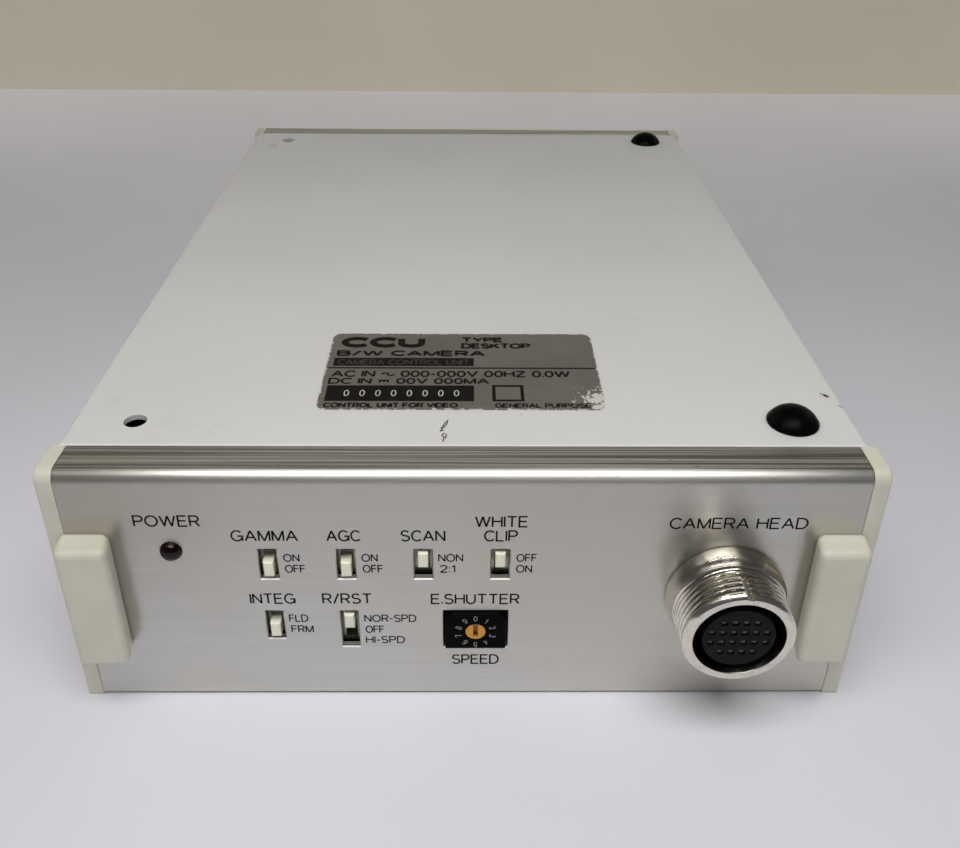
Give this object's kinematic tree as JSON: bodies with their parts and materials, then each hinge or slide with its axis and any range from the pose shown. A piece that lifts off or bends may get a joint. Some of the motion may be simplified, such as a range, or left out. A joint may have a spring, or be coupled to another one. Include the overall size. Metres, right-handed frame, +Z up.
{
  "type": "camera control unit",
  "caption": "Flat desktop control unit for a remote camera head: brushed panels, cream end caps, slide switches, rotary shutter switch and a round threaded head socket.",
  "frame": {"origin": "on the resting surface, under the middle of the bounding box", "axes": "+X to the right seen from the front panel, +Y from the front panel to the rear panel, +Z up"},
  "size_m": [0.1452, 0.2234, 0.0558],
  "materials": {
    "cover_paint": "off-white satin stove enamel on 1 mm sheet",
    "tray_paint": "off-white satin stove enamel on 1 mm sheet",
    "panel_aluminium": "hairline brushed along the width, clear anodised",
    "cap_plastic": "cream moulded plastic",
    "screw_steel": "zinc plated",
    "foot_rubber": "black rubber",
    "label_metal": "printed metal foil",
    "lamp_lens": "dark red lens",
    "switch_black": "black moulded plastic",
    "rotor_orange": "orange-yellow moulded plastic",
    "board_green": "green solder mask",
    "nickel_plate": "bright nickel plate",
    "insert_black": "black moulded plastic",
    "contact_brass": "gold flashed",
    "insulator_white": "white fluoroplastic",
    "ribbon_grey": "grey ribbon cable",
    "lead_pvc": "brown insulated wire",
    "core_steel": "varnished laminations",
    "coil_tape": "yellow winding tape",
    "can_sleeve": "dark blue sleeve",
    "heatsink_black": "black anodised",
    "chip_black": "black moulded package",
    "fuse_glass": "clear glass with metal caps",
    "switch_steel": "tin plated steel",
    "knob_cream": "cream-white moulded plastic"
  },
  "bodies": {
    "case": {"agc_switch": "switch_steel", "bnc_contacts": "contact_brass", "bnc_insulators": "insulator_white", "bnc_nuts": "nickel_plate", "board_header": "insert_black", "board_header_pins": "contact_brass", "board_posts": "nickel_plate", "board_screws": "screw_steel", "bottom_tray": "tray_paint", "cap_screws": "screw_steel", "dc_jack": "insert_black", "filter_capacitors": "can_sleeve", "foot_front_right": "foot_rubber", "foot_rear_right": "foot_rubber", "front_left_cap": "cap_plastic", "front_panel": "panel_aluminium", "front_right_cap": "cap_plastic", "fuse_clips": "contact_brass", "gamma_switch": "switch_steel", "head_board": "board_green", "head_receptacle_contacts": "contact_brass", "head_receptacle_insert": "insert_black", "head_receptacle_nut": "nickel_plate", "head_receptacle_shell": "nickel_plate", "head_ribbon": "ribbon_grey", "integration_switch": "switch_steel", "internal_leads": "lead_pvc", "main_board": "board_green", "mains_fuse": "fuse_glass", "mains_inlet": "insert_black", "mains_inlet_pins": "nickel_plate", "power_board": "board_green", "power_lamp": "lamp_lens", "processing_chips": "chip_black", "rating_label": "label_metal", "rear_left_cap": "cap_plastic", "rear_panel": "panel_aluminium", "rear_right_cap": "cap_plastic", "regulator_heatsink": "heatsink_black", "restart_switch": "switch_steel", "ribbon_plugs": "insert_black", "rotary_switch_body": "switch_black", "scan_switch": "switch_steel", "side_screws": "screw_steel", "switch_board": "board_green", "sync_in_jack": "nickel_plate", "top_cover": "cover_paint", "transformer_coil": "coil_tape", "transformer_core": "core_steel", "tray_screws": "screw_steel", "video_out_jack": "nickel_plate", "voltage_regulator": "chip_black", "white_clip_switch": "switch_steel"},
    "gamma_knob": {"gamma_knob": "knob_cream"},
    "agc_knob": {"agc_knob": "knob_cream"},
    "scan_knob": {"scan_knob": "knob_cream"},
    "white_clip_knob": {"white_clip_knob": "knob_cream"},
    "integration_knob": {"integration_knob": "knob_cream"},
    "restart_knob": {"restart_knob": "knob_cream"},
    "shutter_rotor": {"rotary_switch_rotor": "rotor_orange"}
  },
  "joints": [
    {"name": "gamma_slide", "type": "slide", "parent": "case", "child": "gamma_knob", "axis": [0, 0, 1], "range_m": [0, 0.0021]},
    {"name": "agc_slide", "type": "slide", "parent": "case", "child": "agc_knob", "axis": [0, 0, 1], "range_m": [0, 0.0021]},
    {"name": "scan_slide", "type": "slide", "parent": "case", "child": "scan_knob", "axis": [0, 0, 1], "range_m": [-0.0021, 0]},
    {"name": "white_clip_slide", "type": "slide", "parent": "case", "child": "white_clip_knob", "axis": [0, 0, 1], "range_m": [-0.0021, 0]},
    {"name": "integration_slide", "type": "slide", "parent": "case", "child": "integration_knob", "axis": [0, 0, 1], "range_m": [0, 0.0021]},
    {"name": "restart_slide", "type": "slide", "parent": "case", "child": "restart_knob", "axis": [0, 0, 1], "range_m": [-0.0042, 0]},
    {"name": "shutter_turn", "type": "hinge", "parent": "case", "child": "shutter_rotor", "pos_m": [0.00198, -0.1, 0.017], "axis": [0, 1, 0], "continuous": true}
  ]
}
